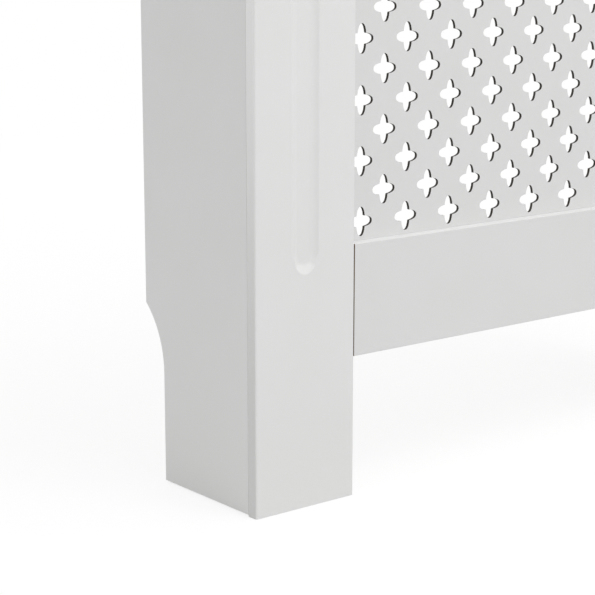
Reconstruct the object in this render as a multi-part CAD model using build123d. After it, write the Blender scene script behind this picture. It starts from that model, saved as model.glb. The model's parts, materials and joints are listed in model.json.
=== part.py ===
from build123d import *
import math
import os

# A radiator cover cabinet: painted fibreboard panels on a dowelled front frame, with a pierced
# sheet behind the frame. Millimetres, X to the right, Y towards the wall, Z up. The origin is on
# the floor, under the middle of the top board's length and depth, so the front faces -Y.

# ---- Whole cabinet ----
TOP_LENGTH = 780.0
TOP_DEPTH = 190.0
CABINET_HEIGHT = 815.0
TOP_THICKNESS = 18.0
SIDE_OVERHANG = 18.0
FRONT_OVERHANG = 16.0
BOARD = 12.0  # posts, rails and side panels are cut from one board
PANEL_LIFT = 1.5  # the side panels hang clear of the floor and the posts stand on it
ARRIS = 0.6  # bevel of the painted boards' visible edges
CORNER_RADIUS = 2.0  # the rounded outer corner of a post

# ---- Front frame ----
POST_WIDTH = 115.0
TOP_RAIL_WIDTH = 97.5
BOTTOM_RAIL_WIDTH = 106.5
BOTTOM_RAIL_LIFT = 135.5
RAIL_GAP = 0.8  # open joint between a rail's end and its post

# ---- Flute of a post: a shallow dish with round stops ----
FLUTE_WIDTH = 31.0
FLUTE_DEPTH = 3.0
FLUTE_COVE = 9.5  # width of the curved side of the dish
FLUTE_END_DROP = 21.5  # from the lower end of the flute up to the bottom rail's top

# ---- Skirting notch of a side panel ----
NOTCH_DEPTH = 29.0
NOTCH_STRAIGHT = 109.0  # height where the straight edge runs into the arc
NOTCH_HEIGHT = 174.0  # height where the arc meets the panel's rear edge

# ---- Pierced sheet ----
GRILLE_THICKNESS = 3.0
GRILLE_LAP = 25.0  # how far the sheet lies behind the frame
HOLE_PITCH = 56.25  # between neighbours in one column
HOLE_LENGTH = 27.0  # tip to tip
PETAL_WIDTH = 9.4
PETAL_SHOULDER = 36.0  # degrees round the petal's ellipse, from its tip to the point beside it
HOLE_MARGIN = 17.0  # least distance from the opening's edge to a hole's centre

# ---- Moulded edge of the top board ----
MOULD_RADIUS = 8.0
MOULD_STEP = 2.0
COVE_RADIUS = 5.0

# ---- Dowels, screws and their holes, all drawn with flat sides ----
SMALL_SIDES = 6
DOWEL_DIAMETER = 6.0
DOWEL_LENGTH = 30.0
DOWEL_END_SPACE = 0.5  # glue space at each end of a dowel
DOWEL_EDGE = 26.0  # from a rail's edge to its dowel
HOLE_CLEARANCE = 0.1  # a hole's diameter over the dowel or screw in it
SCREW_DIAMETER = 3.5
SCREW_TIP = 2.5
HEAD_DIAMETER = 7.0
LONG_SCREW = 25.0
COUNTERSINK_DEPTH = 2.2
SHORT_SCREW = 10.5
PAN_HEIGHT = 2.2
PAN_TOP = 4.4  # diameter of the pan head's flat crown

# ---- Corner battens, fixing blocks and wall brackets ----
BATTEN = 18.0
BATTEN_LIFT = 60.0
BATTEN_SCREW_COUNT = 3
BATTEN_SCREW_INSET = 45.0  # from a batten's end to its first screw
BLOCK_SIZE = 16.0
BLOCK_LENGTH = 36.0
BLOCK_BEVEL = 4.0
BLOCK_SCREW_PITCH = 18.0  # from the screw into the wall to the one into the top
FRONT_BLOCK_X = 170.0
SIDE_BLOCK_INSET = 32.0  # from the rear edge, and again from the batten, to a block's middle
BRACKET_HEIGHT = 20.0
BRACKET_PANEL_LEG = 44.0
BRACKET_WALL_LEG = 32.0
BRACKET_THICKNESS = 2.0
BRACKET_BEND = 2.0  # inside radius
BRACKET_END = 5.0  # bevel of the legs' free corners
BRACKET_DROP = 90.0  # from the top board's underside to the bracket's middle
BRACKET_SCREW_PITCH = 18.0
WALL_HOLE_DIAMETER = 5.0
BRACKET_HOLE_EDGE = 12.0  # from a leg's end to its first hole

# ---- Pattern of the sheet's screws ----
RAIL_SCREW_COUNT = 2
POST_SCREW_COUNT = 2
GRILLE_SCREW_CORNER = 90.0  # from the opening's corner to the first screw beside it

# ---- Places worked out from the sizes ----
HALF_BODY = TOP_LENGTH / 2 - SIDE_OVERHANG
INNER_FACE = HALF_BODY - BOARD
REAR = TOP_DEPTH / 2
FRONT = FRONT_OVERHANG - REAR
FRAME_BACK = FRONT + BOARD
GRILLE_BACK = FRAME_BACK + GRILLE_THICKNESS
TOP_UNDERSIDE = CABINET_HEIGHT - TOP_THICKNESS
HALF_OPENING = HALF_BODY - POST_WIDTH
OPENING_BOTTOM = BOTTOM_RAIL_LIFT + BOTTOM_RAIL_WIDTH
OPENING_TOP = TOP_UNDERSIDE - TOP_RAIL_WIDTH
LEFT, RIGHT = -1, 1


def box_between(low, high):
    """A block from its low corner to its high corner."""
    size = [h - l for l, h in zip(low, high)]
    return Pos(*low) * Box(*size, align=(Align.MIN, Align.MIN, Align.MIN))


def mirrored(shape, side):
    """The right-hand shape as it is, or its mirror image for the left."""
    return shape if side == RIGHT else mirror(shape, about=Plane.YZ)


def spread(low, high, count):
    """Evenly spaced places from low to high."""
    return [low + (high - low) * i / (count - 1) for i in range(count)]


# ---- Fasteners, each along +Z with the underside of its head, or its flush face, at z = 0 ----
def tapered_prism(stations, point=None):
    """Flat-sided solid through the stations, each a diameter and its height, and up to a point."""
    turn = 360 / SMALL_SIDES
    rings = [
        [Vector(diameter / 2, 0, z).rotate(Axis.Z, turn * corner) for corner in range(SMALL_SIDES)]
        for diameter, z in stations
    ]
    sides = [
        [low[corner - 1], low[corner], high[corner], high[corner - 1]]
        for low, high in zip(rings, rings[1:])
        for corner in range(SMALL_SIDES)
    ]
    last = rings[-1]
    if point is None:
        sides.append(last)
    else:
        tip = Vector(0, 0, point)
        sides += [[last[corner - 1], last[corner], tip] for corner in range(SMALL_SIDES)]
    return Solid(Shell([Face(Wire.make_polygon(side)) for side in [rings[0]] + sides]))


def long_screw():
    """Countersunk screw, its head flush at z = 0 and its point up."""
    stations = [
        (HEAD_DIAMETER, 0), (SCREW_DIAMETER, COUNTERSINK_DEPTH),
        (SCREW_DIAMETER, LONG_SCREW - SCREW_TIP),
    ]
    return tapered_prism(stations, point=LONG_SCREW)


def long_screw_hole():
    """Countersunk room for a long screw, with its clearance."""
    gap = HOLE_CLEARANCE
    return tapered_prism([
        (HEAD_DIAMETER + gap, 0), (SCREW_DIAMETER + gap, COUNTERSINK_DEPTH),
        (SCREW_DIAMETER + gap, LONG_SCREW + gap),
    ])


def short_screw():
    """Pan-head screw with its seat at z = 0, its head below and its point up."""
    head = tapered_prism([(PAN_TOP, -PAN_HEIGHT), (HEAD_DIAMETER, 0)])
    stations = [(SCREW_DIAMETER, 0), (SCREW_DIAMETER, SHORT_SCREW - SCREW_TIP)]
    shank = tapered_prism(stations, point=SHORT_SCREW)
    return head + shank


def short_screw_hole():
    """Room for a short screw's shank, with its clearance."""
    diameter = SCREW_DIAMETER + HOLE_CLEARANCE
    return tapered_prism([(diameter, 0), (diameter, SHORT_SCREW + HOLE_CLEARANCE)])


def dowel():
    """Dowel along X."""
    half = DOWEL_LENGTH / 2
    return Rot(Y=90) * tapered_prism([(DOWEL_DIAMETER, -half), (DOWEL_DIAMETER, half)])


def dowel_hole():
    """Room for a dowel along X, with its clearance and end spaces."""
    diameter, half = DOWEL_DIAMETER + HOLE_CLEARANCE, DOWEL_LENGTH / 2 + DOWEL_END_SPACE
    return Rot(Y=90) * tapered_prism([(diameter, -half), (diameter, half)])


# ---- Where the fasteners are, as locations that turn +Z into the screw's direction ----
TOWARDS_RIGHT = Rot(Y=90)
TOWARDS_FRONT = Rot(X=90)


def batten_screws_at():
    """Screws of the right-hand batten, into the side panel."""
    x, y = INNER_FACE - BATTEN, FRAME_BACK + BATTEN / 2
    low, high = BATTEN_LIFT + BATTEN_SCREW_INSET, TOP_UNDERSIDE - BATTEN_SCREW_INSET
    return [Pos(x, y, z) * TOWARDS_RIGHT for z in spread(low, high, BATTEN_SCREW_COUNT)]


def side_blocks_at():
    """Places on the right-hand panel, in Y, of its two fixing blocks."""
    return [FRAME_BACK + BATTEN + SIDE_BLOCK_INSET, REAR - SIDE_BLOCK_INSET]


def side_block_frames():
    """Frames of the right-hand blocks: X away from the panel, Y along it, Z down from the top."""
    return [
        Location(Plane((INNER_FACE, y, TOP_UNDERSIDE), x_dir=(-1, 0, 0), z_dir=(0, 0, -1)))
        for y in side_blocks_at()
    ]


def front_block_frames():
    """Frames of the blocks behind the top rail, with X away from the rail."""
    return [
        Location(Plane((x, FRAME_BACK, TOP_UNDERSIDE), x_dir=(0, 1, 0), z_dir=(0, 0, -1)))
        for x in (-FRONT_BLOCK_X, FRONT_BLOCK_X)
    ]


def block_screws_at():
    """Screws of one block in its own frame: one into the wall beside it, one up into the top."""
    middle, offset = BLOCK_SIZE / 2, BLOCK_SCREW_PITCH / 2
    into_wall = Pos(BLOCK_SIZE, -offset, middle) * Rot(Y=-90)
    into_top = Pos(middle, offset, BLOCK_SIZE) * Rot(X=180)
    return [into_wall, into_top]


def grille_screws_at():
    """Screws round the sheet, on the middle line of its lap, pointing to the front."""
    side_x = HALF_OPENING + GRILLE_LAP / 2
    low_z, high_z = OPENING_BOTTOM - GRILLE_LAP / 2, OPENING_TOP + GRILLE_LAP / 2
    reach = HALF_OPENING - GRILLE_SCREW_CORNER
    along = [(x, z) for x in spread(-reach, reach, RAIL_SCREW_COUNT) for z in (low_z, high_z)]
    heights = spread(
        OPENING_BOTTOM + GRILLE_SCREW_CORNER, OPENING_TOP - GRILLE_SCREW_CORNER, POST_SCREW_COUNT
    )
    upright = [(x, z) for x in (-side_x, side_x) for z in heights]
    return [Pos(x, GRILLE_BACK, z) * TOWARDS_FRONT for x, z in along + upright]


def bracket_screws_at():
    """Screws of the right-hand bracket into the side panel."""
    z = TOP_UNDERSIDE - BRACKET_DROP
    first = REAR - BRACKET_PANEL_LEG + BRACKET_HOLE_EDGE
    seat = INNER_FACE - BRACKET_THICKNESS
    return [Pos(seat, first + i * BRACKET_SCREW_PITCH, z) * TOWARDS_RIGHT for i in range(2)]


def rail_dowels_at():
    """Dowels of the right-hand rail ends, on the middle plane of the boards."""
    x, y = HALF_OPENING - RAIL_GAP / 2, FRONT + BOARD / 2
    heights = [
        BOTTOM_RAIL_LIFT + DOWEL_EDGE, OPENING_BOTTOM - DOWEL_EDGE,
        OPENING_TOP + DOWEL_EDGE, TOP_UNDERSIDE - DOWEL_EDGE,
    ]
    return [Pos(x, y, z) for z in heights]


# ---- Painted boards ----
def flute_cutter():
    """The dish that a post's flute takes out: a coved section between two round stops."""
    half, floor = FLUTE_WIDTH / 2, FLUTE_WIDTH / 2 - FLUTE_COVE
    cove_radius = (FLUTE_COVE**2 + FLUTE_DEPTH**2) / (2 * FLUTE_DEPTH)
    section = (
        Line((0, 0), (half, 0))
        + RadiusArc((half, 0), (floor, FLUTE_DEPTH), -cove_radius)
        + Line((floor, FLUTE_DEPTH), (0, FLUTE_DEPTH))
        + Line((0, FLUTE_DEPTH), (0, 0))
    )
    dish_half = make_face(section)
    low = OPENING_BOTTOM - FLUTE_END_DROP + half
    high = OPENING_TOP + FLUTE_END_DROP - half
    run = extrude(Plane.XY * dish_half, amount=high - low)
    run += mirror(run, about=Plane.YZ)
    stop = revolve(dish_half, Axis.Y)
    return Pos(Z=low) * (run + stop + Pos(Z=high - low) * stop)


def post(side):
    """Front post: a board with a flute, a rounded outer corner and holes for dowels and screws."""
    board = box_between((HALF_OPENING, FRONT, 0), (HALF_BODY, FRAME_BACK, TOP_UNDERSIDE))
    uprights = board.edges().filter_by(Axis.Z).group_by(Axis.Y)[0].sort_by(Axis.X)
    board = fillet(uprights[-1], CORNER_RADIUS)
    inner = board.edges().filter_by(Axis.Z).group_by(Axis.Y)[0].sort_by(Axis.X)[0]
    board = chamfer(inner, ARRIS)
    board -= Pos(HALF_OPENING + POST_WIDTH / 2, FRONT) * flute_cutter()
    board -= [place * dowel_hole() for place in rail_dowels_at()]
    board -= [place * short_screw_hole() for place in grille_screws_at()]
    return mirrored(board, side)


def rail(low, high):
    """Rail between the posts, from its low edge to its high edge."""
    half = HALF_OPENING - RAIL_GAP
    board = box_between((-half, FRONT, low), (half, FRAME_BACK, high))
    ends = board.edges().filter_by(Axis.Z).group_by(Axis.Y)[0]
    board = chamfer(ends, ARRIS)
    for place in rail_dowels_at():
        board -= [place * dowel_hole(), mirror(place * dowel_hole(), about=Plane.YZ)]
    board -= [place * short_screw_hole() for place in grille_screws_at()]
    return board


def top_rail():
    """Upper rail, with the screw holes of the blocks that hold the top board."""
    board = rail(OPENING_TOP, TOP_UNDERSIDE)
    for frame in front_block_frames():
        board -= [frame * place * long_screw_hole() for place in block_screws_at()]
    return board


def bottom_rail():
    """Lower rail, well above the floor, so that air can pass under it."""
    return rail(BOTTOM_RAIL_LIFT, OPENING_BOTTOM)


def side_panel(side):
    """Side panel with a notch that clears the skirting board: a straight edge and an arc."""
    rise, line = NOTCH_HEIGHT - NOTCH_STRAIGHT, REAR - NOTCH_DEPTH
    arc_radius = (NOTCH_DEPTH**2 + rise**2) / (2 * NOTCH_DEPTH)
    outline = Polyline(
        (REAR, NOTCH_HEIGHT), (REAR, TOP_UNDERSIDE), (FRAME_BACK, TOP_UNDERSIDE),
        (FRAME_BACK, PANEL_LIFT), (line, PANEL_LIFT), (line, NOTCH_STRAIGHT),
    )
    notch = RadiusArc((line, NOTCH_STRAIGHT), (REAR, NOTCH_HEIGHT), arc_radius)
    across = Plane((INNER_FACE, 0, 0), x_dir=(0, 1, 0), z_dir=(1, 0, 0))
    board = extrude(across * make_face(outline + notch), amount=BOARD)
    board -= [place * long_screw_hole() for place in batten_screws_at()]
    board -= [place * short_screw_hole() for place in bracket_screws_at()]
    for frame in side_block_frames():
        board -= [frame * place * long_screw_hole() for place in block_screws_at()]
    return mirrored(board, side)


def edge_section(half_width):
    """Half of the top board's section: a step and a quarter round above a small cove."""
    top, edge = TOP_THICKNESS, half_width
    shoulder = edge - MOULD_STEP
    round_low = top - MOULD_STEP - MOULD_RADIUS
    outline = (
        Line((0, 0), (edge - COVE_RADIUS, 0))
        + RadiusArc((edge - COVE_RADIUS, 0), (edge, COVE_RADIUS), COVE_RADIUS)
        + Line((edge, COVE_RADIUS), (edge, round_low))
        + RadiusArc((edge, round_low), (edge - MOULD_RADIUS, top - MOULD_STEP), -MOULD_RADIUS)
        + Polyline(
            (edge - MOULD_RADIUS, top - MOULD_STEP), (shoulder - MOULD_RADIUS, top - MOULD_STEP),
            (shoulder - MOULD_RADIUS, top), (0, top), (0, 0),
        )
    )
    return make_face(outline)


def top_board():
    """Top board, moulded along its front and both ends and square along the wall."""
    half_length = TOP_LENGTH / 2
    moulded_end = extrude(Plane.XZ * edge_section(half_length), amount=TOP_DEPTH)
    across = Plane((half_length, 0, 0), x_dir=(0, -1, 0), z_dir=(-1, 0, 0))
    moulded_front = extrude(across * edge_section(TOP_DEPTH), amount=half_length)
    right_half = Pos(0, REAR, TOP_UNDERSIDE) * (moulded_end & moulded_front)
    board = right_half + mirror(right_half, about=Plane.YZ)
    for frame in side_block_frames():
        for place in block_screws_at():
            hole = frame * place * long_screw_hole()
            board -= [hole, mirror(hole, about=Plane.YZ)]
    for frame in front_block_frames():
        board -= [frame * place * long_screw_hole() for place in block_screws_at()]
    return board


# ---- Pierced sheet ----
def hole_outline():
    """Four petals: two crossing ellipses, drawn with a tip and two shoulders to each petal."""
    along, across = HOLE_LENGTH / 2, PETAL_WIDTH / 2
    shoulder = math.radians(PETAL_SHOULDER)
    reach, side = along * math.cos(shoulder), across * math.sin(shoulder)
    crossing = along * across / math.hypot(along, across)
    petal = [(crossing, -crossing), (reach, -side), (along, 0), (reach, side)]
    corners = [Vector(x, y).rotate(Axis.Z, 90 * turn) for turn in range(4) for x, y in petal]
    return Polyline(*corners, close=True)


def hole_centres():
    """A square lattice with every other column half a pitch higher, centred in the opening."""
    step = HOLE_PITCH / 2
    width, height = 2 * HALF_OPENING, OPENING_TOP - OPENING_BOTTOM
    columns = math.floor((width - 2 * HOLE_MARGIN) / step) + 1
    rows = math.floor((height - 2 * HOLE_MARGIN) / step) + 1
    first_x = -(columns - 1) * step / 2
    first_z = (OPENING_BOTTOM + OPENING_TOP) / 2 - (rows - 1) * step / 2
    return [
        (first_x + column * step, first_z + row * step)
        for column in range(columns)
        for row in range(rows)
        if (column + row) % 2 == 0
    ]


def grille_panel():
    """Thin sheet behind the frame, pierced inside the opening and screwed on round its edge."""
    width = 2 * (HALF_OPENING + GRILLE_LAP)
    height = OPENING_TOP - OPENING_BOTTOM + 2 * GRILLE_LAP
    middle = (OPENING_BOTTOM + OPENING_TOP) / 2
    rim = (Pos(0, middle) * Rectangle(width, height)).face().outer_wire()
    outline = hole_outline()
    sheet = Face(rim, [Wire((Pos(x, z) * outline).edges()) for x, z in hole_centres()])
    upright = Plane((0, GRILLE_BACK, 0), x_dir=(1, 0, 0), z_dir=(0, -1, 0))
    panel = extrude(upright * sheet, amount=GRILLE_THICKNESS)
    return panel - [place * short_screw_hole() for place in grille_screws_at()]


# ---- Inner pieces ----
def corner_batten(side):
    """Square batten in the corner behind a post, which joins the post to the side panel."""
    strip = box_between(
        (INNER_FACE - BATTEN, FRAME_BACK, BATTEN_LIFT), (INNER_FACE, FRAME_BACK + BATTEN, TOP_UNDERSIDE)
    )
    strip -= [place * long_screw_hole() for place in batten_screws_at()]
    return mirrored(strip, side)


def fixing_block():
    """Moulded block in its own frame, its free corner cut off, with its screw holes."""
    half = BLOCK_LENGTH / 2
    block = box_between((0, -half, 0), (BLOCK_SIZE, half, BLOCK_SIZE))
    free_edge = block.edges().filter_by(Axis.Y).sort_by(lambda e: e.center().X + e.center().Z)[-1]
    block = chamfer(free_edge, BLOCK_BEVEL)
    return block - [place * long_screw_hole() for place in block_screws_at()]


def wall_bracket(side):
    """Steel angle at a side panel's rear edge, with a hole for the screw into the wall."""
    thick, z = BRACKET_THICKNESS, TOP_UNDERSIDE - BRACKET_DROP
    outer = (INNER_FACE, REAR)
    outline = Polyline(
        outer, (outer[0] - BRACKET_WALL_LEG, outer[1]), (outer[0] - BRACKET_WALL_LEG, outer[1] - thick),
        (outer[0] - thick, outer[1] - thick), (outer[0] - thick, outer[1] - BRACKET_PANEL_LEG),
        (outer[0], outer[1] - BRACKET_PANEL_LEG), close=True,
    )
    angle = extrude(Pos(0, 0, z - BRACKET_HEIGHT / 2) * make_face(outline), amount=BRACKET_HEIGHT)
    uprights = angle.edges().filter_by(Axis.Z)
    inside = uprights.sort_by_distance((outer[0] - thick, outer[1] - thick, z))[0]
    angle = fillet(inside, BRACKET_BEND)
    outside = angle.edges().filter_by(Axis.Z).sort_by_distance((outer[0], outer[1], z))[0]
    angle = fillet(outside, BRACKET_BEND + thick)
    wall_end = angle.edges().filter_by(Axis.Y).group_by(Axis.X)[0]
    angle = chamfer(wall_end, BRACKET_END)
    panel_end = angle.edges().filter_by(Axis.X).group_by(Axis.Y)[0]
    angle = chamfer(panel_end, BRACKET_END)
    wall_hole = Cylinder(WALL_HOLE_DIAMETER / 2, 4 * thick)
    angle -= Pos(outer[0] - BRACKET_WALL_LEG + BRACKET_HOLE_EDGE, REAR, z) * TOWARDS_FRONT * wall_hole
    angle -= [place * short_screw_hole() for place in bracket_screws_at()]
    return mirrored(angle, side)


# ---- Groups of like pieces ----
def group(solids):
    """Separate like solids under one name."""
    return Compound(children=list(solids))


def on_side(shapes, side):
    """A group of right-hand solids, mirrored for the left."""
    return group([mirrored(shape, side) for shape in shapes])


def rail_dowels(side):
    return on_side([place * dowel() for place in rail_dowels_at()], side)


def batten_screws(side):
    return on_side([place * long_screw() for place in batten_screws_at()], side)


def bracket_screws():
    screws = [place * short_screw() for place in bracket_screws_at()]
    return group([mirrored(screw, side) for side in (LEFT, RIGHT) for screw in screws])


def grille_screws():
    return group([place * short_screw() for place in grille_screws_at()])


def side_top_blocks(side):
    return on_side([frame * fixing_block() for frame in side_block_frames()], side)


def front_top_blocks():
    return group([frame * fixing_block() for frame in front_block_frames()])


def top_block_screws():
    def of_block(frame):
        return [frame * place * long_screw() for place in block_screws_at()]

    front = [screw for frame in front_block_frames() for screw in of_block(frame)]
    right = [screw for frame in side_block_frames() for screw in of_block(frame)]
    return group(front + right + [mirrored(screw, LEFT) for screw in right])


PIECES = {
    "top_board": top_board(),
    "left_side_panel": side_panel(LEFT),
    "right_side_panel": side_panel(RIGHT),
    "left_post": post(LEFT),
    "right_post": post(RIGHT),
    "top_rail": top_rail(),
    "bottom_rail": bottom_rail(),
    "grille_panel": grille_panel(),
    "grille_screws": grille_screws(),
    "left_rail_dowels": rail_dowels(LEFT),
    "right_rail_dowels": rail_dowels(RIGHT),
    "left_corner_batten": corner_batten(LEFT),
    "right_corner_batten": corner_batten(RIGHT),
    "left_batten_screws": batten_screws(LEFT),
    "right_batten_screws": batten_screws(RIGHT),
    "left_top_blocks": side_top_blocks(LEFT),
    "right_top_blocks": side_top_blocks(RIGHT),
    "front_top_blocks": front_top_blocks(),
    "top_block_screws": top_block_screws(),
    "left_wall_bracket": wall_bracket(LEFT),
    "right_wall_bracket": wall_bracket(RIGHT),
    "wall_bracket_screws": bracket_screws(),
}

os.makedirs("parts", exist_ok=True)
for name, piece in PIECES.items():
    export_step(piece, f"parts/{name}.step")
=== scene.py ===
"""Radiator cover cabinet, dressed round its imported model.

Sizes are given in millimetres and meshes are built in metres, in the shared frame: X to the right
seen from the front, Y towards the wall, Z up from the floor.
"""
import json
import logging
import math
from dataclasses import dataclass, field
from enum import Enum
from typing import Callable, Sequence

import bmesh
import bpy
from mathutils import Matrix, Vector

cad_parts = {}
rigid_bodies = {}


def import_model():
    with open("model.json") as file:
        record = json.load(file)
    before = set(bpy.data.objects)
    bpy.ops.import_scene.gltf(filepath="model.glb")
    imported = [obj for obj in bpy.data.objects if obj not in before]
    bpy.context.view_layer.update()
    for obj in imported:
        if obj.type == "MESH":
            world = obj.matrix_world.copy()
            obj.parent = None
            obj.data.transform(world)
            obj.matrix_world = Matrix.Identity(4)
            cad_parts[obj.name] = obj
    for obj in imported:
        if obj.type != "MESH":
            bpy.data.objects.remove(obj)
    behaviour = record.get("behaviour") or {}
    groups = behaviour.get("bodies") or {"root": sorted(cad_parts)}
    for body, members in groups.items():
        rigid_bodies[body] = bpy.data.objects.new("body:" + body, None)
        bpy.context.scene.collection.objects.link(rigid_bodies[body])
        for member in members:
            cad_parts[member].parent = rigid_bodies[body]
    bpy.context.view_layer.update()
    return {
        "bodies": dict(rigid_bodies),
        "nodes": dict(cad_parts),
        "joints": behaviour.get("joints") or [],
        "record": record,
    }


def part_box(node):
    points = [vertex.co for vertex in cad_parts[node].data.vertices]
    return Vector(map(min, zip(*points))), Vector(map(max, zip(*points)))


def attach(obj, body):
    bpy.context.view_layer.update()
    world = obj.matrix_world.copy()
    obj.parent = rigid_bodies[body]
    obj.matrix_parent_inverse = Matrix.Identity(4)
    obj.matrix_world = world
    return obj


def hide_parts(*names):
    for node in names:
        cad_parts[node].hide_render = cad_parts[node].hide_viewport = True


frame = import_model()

MM = 0.001
SAME = 0.01 * MM  # points closer than this are one
WAVE = 6.28  # factor between a wave texture's cell and the size that its bands are named by
FACING = 0.9  # least share of a face's normal along an axis that it faces
WHITE = (1, 1, 1, 1)
BODY = "root"
log = logging.getLogger("cabinet")


class Side(Enum):
    """An end of the cabinet, seen from the front. The value is its sign along X."""

    LEFT = -1
    RIGHT = 1

    @property
    def word(self) -> str:
        """The side's name as the nodes spell it."""
        return self.name.lower()


class Head(Enum):
    """The two heads of the cabinet's screws."""

    PAN = "pan"
    COUNTERSUNK = "countersunk"


class Pick(Enum):
    """What an edit-mode selection is made of, as the operators name it."""

    VERTS = "VERT"
    EDGES = "EDGE"
    FACES = "FACE"


# ---- Lengths, places and tests ----
def mm(*values: float) -> Vector:
    """A point or a size given in millimetres."""
    return Vector(values) * MM


def box_mm(node: str) -> tuple[Vector, Vector]:
    """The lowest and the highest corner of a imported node, in millimetres."""
    low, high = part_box(node)
    return low / MM, high / MM


def near(value: float, target: float, within: float = 0.05) -> bool:
    """Whether a length in metres is at a place in millimetres, to within so many millimetres."""
    return abs(value / MM - target) < within


def lies(edge: bmesh.types.BMEdge, **places: float) -> bool:
    """Whether both ends of an edge lie at the places given along x, y or z, in millimetres."""
    return all(near(getattr(vert.co, axis), place)
               for vert in edge.verts for axis, place in places.items())


def span(edge: bmesh.types.BMEdge, axis: str) -> float:
    """How far an edge reaches along x, y or z, in metres."""
    return abs(getattr(edge.verts[0].co, axis) - getattr(edge.verts[1].co, axis))


def square_to(edge: bmesh.types.BMEdge, axis: str) -> bool:
    """Whether an edge lies square to x, y or z."""
    first, second = (getattr(vert.co, axis) for vert in edge.verts)
    return near(first, second / MM)


def sharp(edge: bmesh.types.BMEdge, turn: float = 1.0) -> bool:
    """Whether the two faces at an edge turn by more than an angle in radians."""
    return edge.is_manifold and edge.calc_face_angle() > turn


# ---- The bench: modelling by operators ----
def to_bench(obj: bpy.types.Object) -> None:
    """Makes an object the only selected one and the active one, in object mode."""
    clear_bench()
    obj.select_set(True)
    bpy.context.view_layer.objects.active = obj


def clear_bench() -> None:
    """Leaves edit mode and deselects everything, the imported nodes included."""
    if bpy.context.mode != "OBJECT":
        bpy.ops.object.mode_set(mode="OBJECT")
    bpy.ops.object.select_all(action="DESELECT")


def edit(obj: bpy.types.Object) -> None:
    """Opens an object in edit mode with nothing selected."""
    to_bench(obj)
    bpy.ops.object.mode_set(mode="EDIT")
    bpy.ops.mesh.select_mode(type="VERT")
    bpy.ops.mesh.select_all(action="DESELECT")


def edit_all(obj: bpy.types.Object) -> None:
    """Opens an object in edit mode with everything selected."""
    edit(obj)
    bpy.ops.mesh.select_all(action="SELECT")


def pick(obj: bpy.types.Object, kind: Pick, test: Callable[[object], bool]) -> int:
    """Selects, in edit mode, what passes a test and nothing else.

    Args:
        obj: the object that is open in edit mode.
        kind: whether vertices, edges or faces are tested.
        test: takes one bmesh vertex, edge or face, and says whether it is wanted.

    Returns:
        How many were selected.
    """
    bpy.ops.mesh.select_mode(type=kind.value)
    bpy.ops.mesh.select_all(action="DESELECT")
    mesh = bmesh.from_edit_mesh(obj.data)
    parts = {Pick.VERTS: mesh.verts, Pick.EDGES: mesh.edges, Pick.FACES: mesh.faces}[kind]
    wanted = [part for part in parts if test(part)]
    for part in wanted:
        part.select_set(True)
    bmesh.update_edit_mesh(obj.data)
    return len(wanted)


def settle(name: str) -> bpy.types.Object:
    """Names the active object and moves its place, turn and scale into its mesh."""
    obj = bpy.context.object
    obj.name = obj.data.name = name
    bpy.ops.object.transform_apply(location=True, rotation=True, scale=True)
    return obj


def block(name: str, low: Vector, high: Vector) -> bpy.types.Object:
    """A sawn block between two corners, to be shaped further.

    Args:
        name: the new object's name.
        low: its lowest corner.
        high: its highest corner.

    Returns:
        The new object.
    """
    clear_bench()
    bpy.ops.mesh.primitive_cube_add(size=1, location=(low + high) / 2, scale=high - low)
    return settle(name)


def drawn(name: str, points: Sequence[Vector], closed: bool = True) -> bpy.types.Object:
    """A line drawn point by point from one extruded vertex, and filled if it closes.

    Args:
        name: the new object's name.
        points: the line's points in order, the first one not repeated.
        closed: whether the line runs back to its start and carries a face.

    Returns:
        The new object.
    """
    clear_bench()
    bpy.ops.mesh.primitive_plane_add(size=MM, location=points[0])
    obj = settle(name)
    edit_all(obj)
    bpy.ops.mesh.merge(type="CENTER")
    for here, there in zip(points, points[1:]):
        bpy.ops.mesh.extrude_region_move(TRANSFORM_OT_translate={"value": there - here})
    if closed:
        bpy.ops.mesh.select_all(action="SELECT")
        bpy.ops.mesh.edge_face_add()
    bpy.ops.object.mode_set(mode="OBJECT")
    return obj


def pulled(obj: bpy.types.Object, along: Vector) -> bpy.types.Object:
    """Extrudes the whole of a flat shape along a vector and turns its faces outwards.

    Args:
        obj: a flat filled shape.
        along: how far and which way it is pulled.

    Returns:
        The same object, now a solid.
    """
    edit_all(obj)
    bpy.ops.mesh.extrude_region_move(TRANSFORM_OT_translate={"value": along})
    outwards(obj)
    return obj


def outwards(obj: bpy.types.Object) -> None:
    """Merges doubles, turns every face outwards and returns to object mode."""
    if bpy.context.mode != "EDIT_MESH":
        edit(obj)
    bpy.ops.mesh.select_all(action="SELECT")
    bpy.ops.mesh.remove_doubles(threshold=SAME)
    bpy.ops.mesh.normals_make_consistent(inside=False)
    bpy.ops.object.mode_set(mode="OBJECT")


def give(obj: bpy.types.Object, *materials: bpy.types.Material) -> None:
    """Gives an object materials, in slot order."""
    for material in materials:
        obj.data.materials.append(material)


def coat_faces(obj: bpy.types.Object, slot: int, test: Callable[[object], bool]) -> None:
    """Gives the faces that pass a test the material in a slot.

    Args:
        obj: the object, which already has the material.
        slot: the slot's number.
        test: takes a bmesh face and says whether it is covered.
    """
    edit(obj)
    pick(obj, Pick.FACES, test)
    obj.active_material_index = slot
    bpy.ops.object.material_slot_assign()
    bpy.ops.object.mode_set(mode="OBJECT")


def bevel(obj: bpy.types.Object, test: Callable[[object], bool], width: float, steps: int) -> None:
    """Rounds or cuts the edges that pass a test.

    Args:
        obj: the object to bevel.
        test: takes a bmesh edge and says whether it is bevelled.
        width: how far the bevel reaches from the edge, in millimetres.
        steps: number of faces across the bevel; one makes a flat chamfer.
    """
    edit(obj)
    if pick(obj, Pick.EDGES, test):
        bpy.ops.mesh.bevel(offset=width * MM, segments=steps, profile=0.5, affect="EDGES")
    bpy.ops.object.mode_set(mode="OBJECT")


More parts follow.
